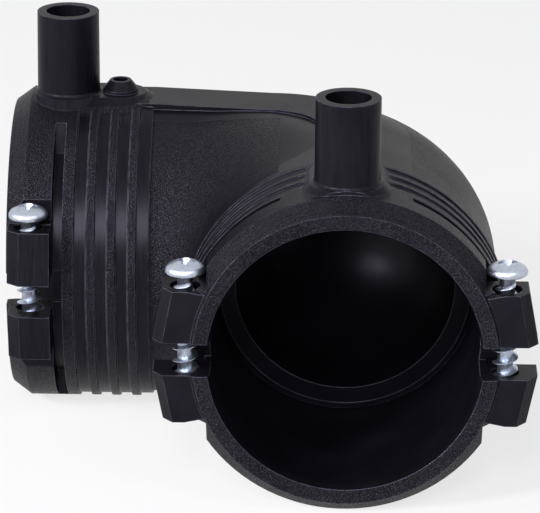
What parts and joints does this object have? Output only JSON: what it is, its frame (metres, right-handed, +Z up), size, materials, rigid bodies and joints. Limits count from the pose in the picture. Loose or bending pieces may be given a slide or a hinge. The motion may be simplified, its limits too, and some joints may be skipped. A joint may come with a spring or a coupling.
{
  "type": "electrofusion elbow",
  "caption": "Black plastic 90 degree electrofusion elbow with two equal pipe sockets, shrouded terminals, fusion indicators and screw clamps at both mouths.",
  "frame": {"origin": "on the ground, under the middle of the outline of the whole fitting", "axes": "+Z up, along the two terminals; the front socket opens towards -Y and the left socket towards -X; both socket axes lie level at one height"},
  "size_m": [0.101, 0.101, 0.0784],
  "materials": {
    "body_plastic": "fine moulded grain, smooth on the grooves, pads and terminals",
    "screw_zinc": "bright zinc plate",
    "pin_brass": "plain turned",
    "coil_wire": "bare copper alloy wire"
  },
  "bodies": {
    "root": {"elbow_body": "body_plastic", "screw_front_right": "screw_zinc", "screw_front_left": "screw_zinc", "screw_left_near": "screw_zinc", "screw_left_far": "screw_zinc", "terminal_pin_front": "pin_brass", "terminal_pin_left": "pin_brass", "heating_coil_front": "coil_wire", "heating_coil_left": "coil_wire", "link_wire": "coil_wire"}
  },
  "joints": []
}
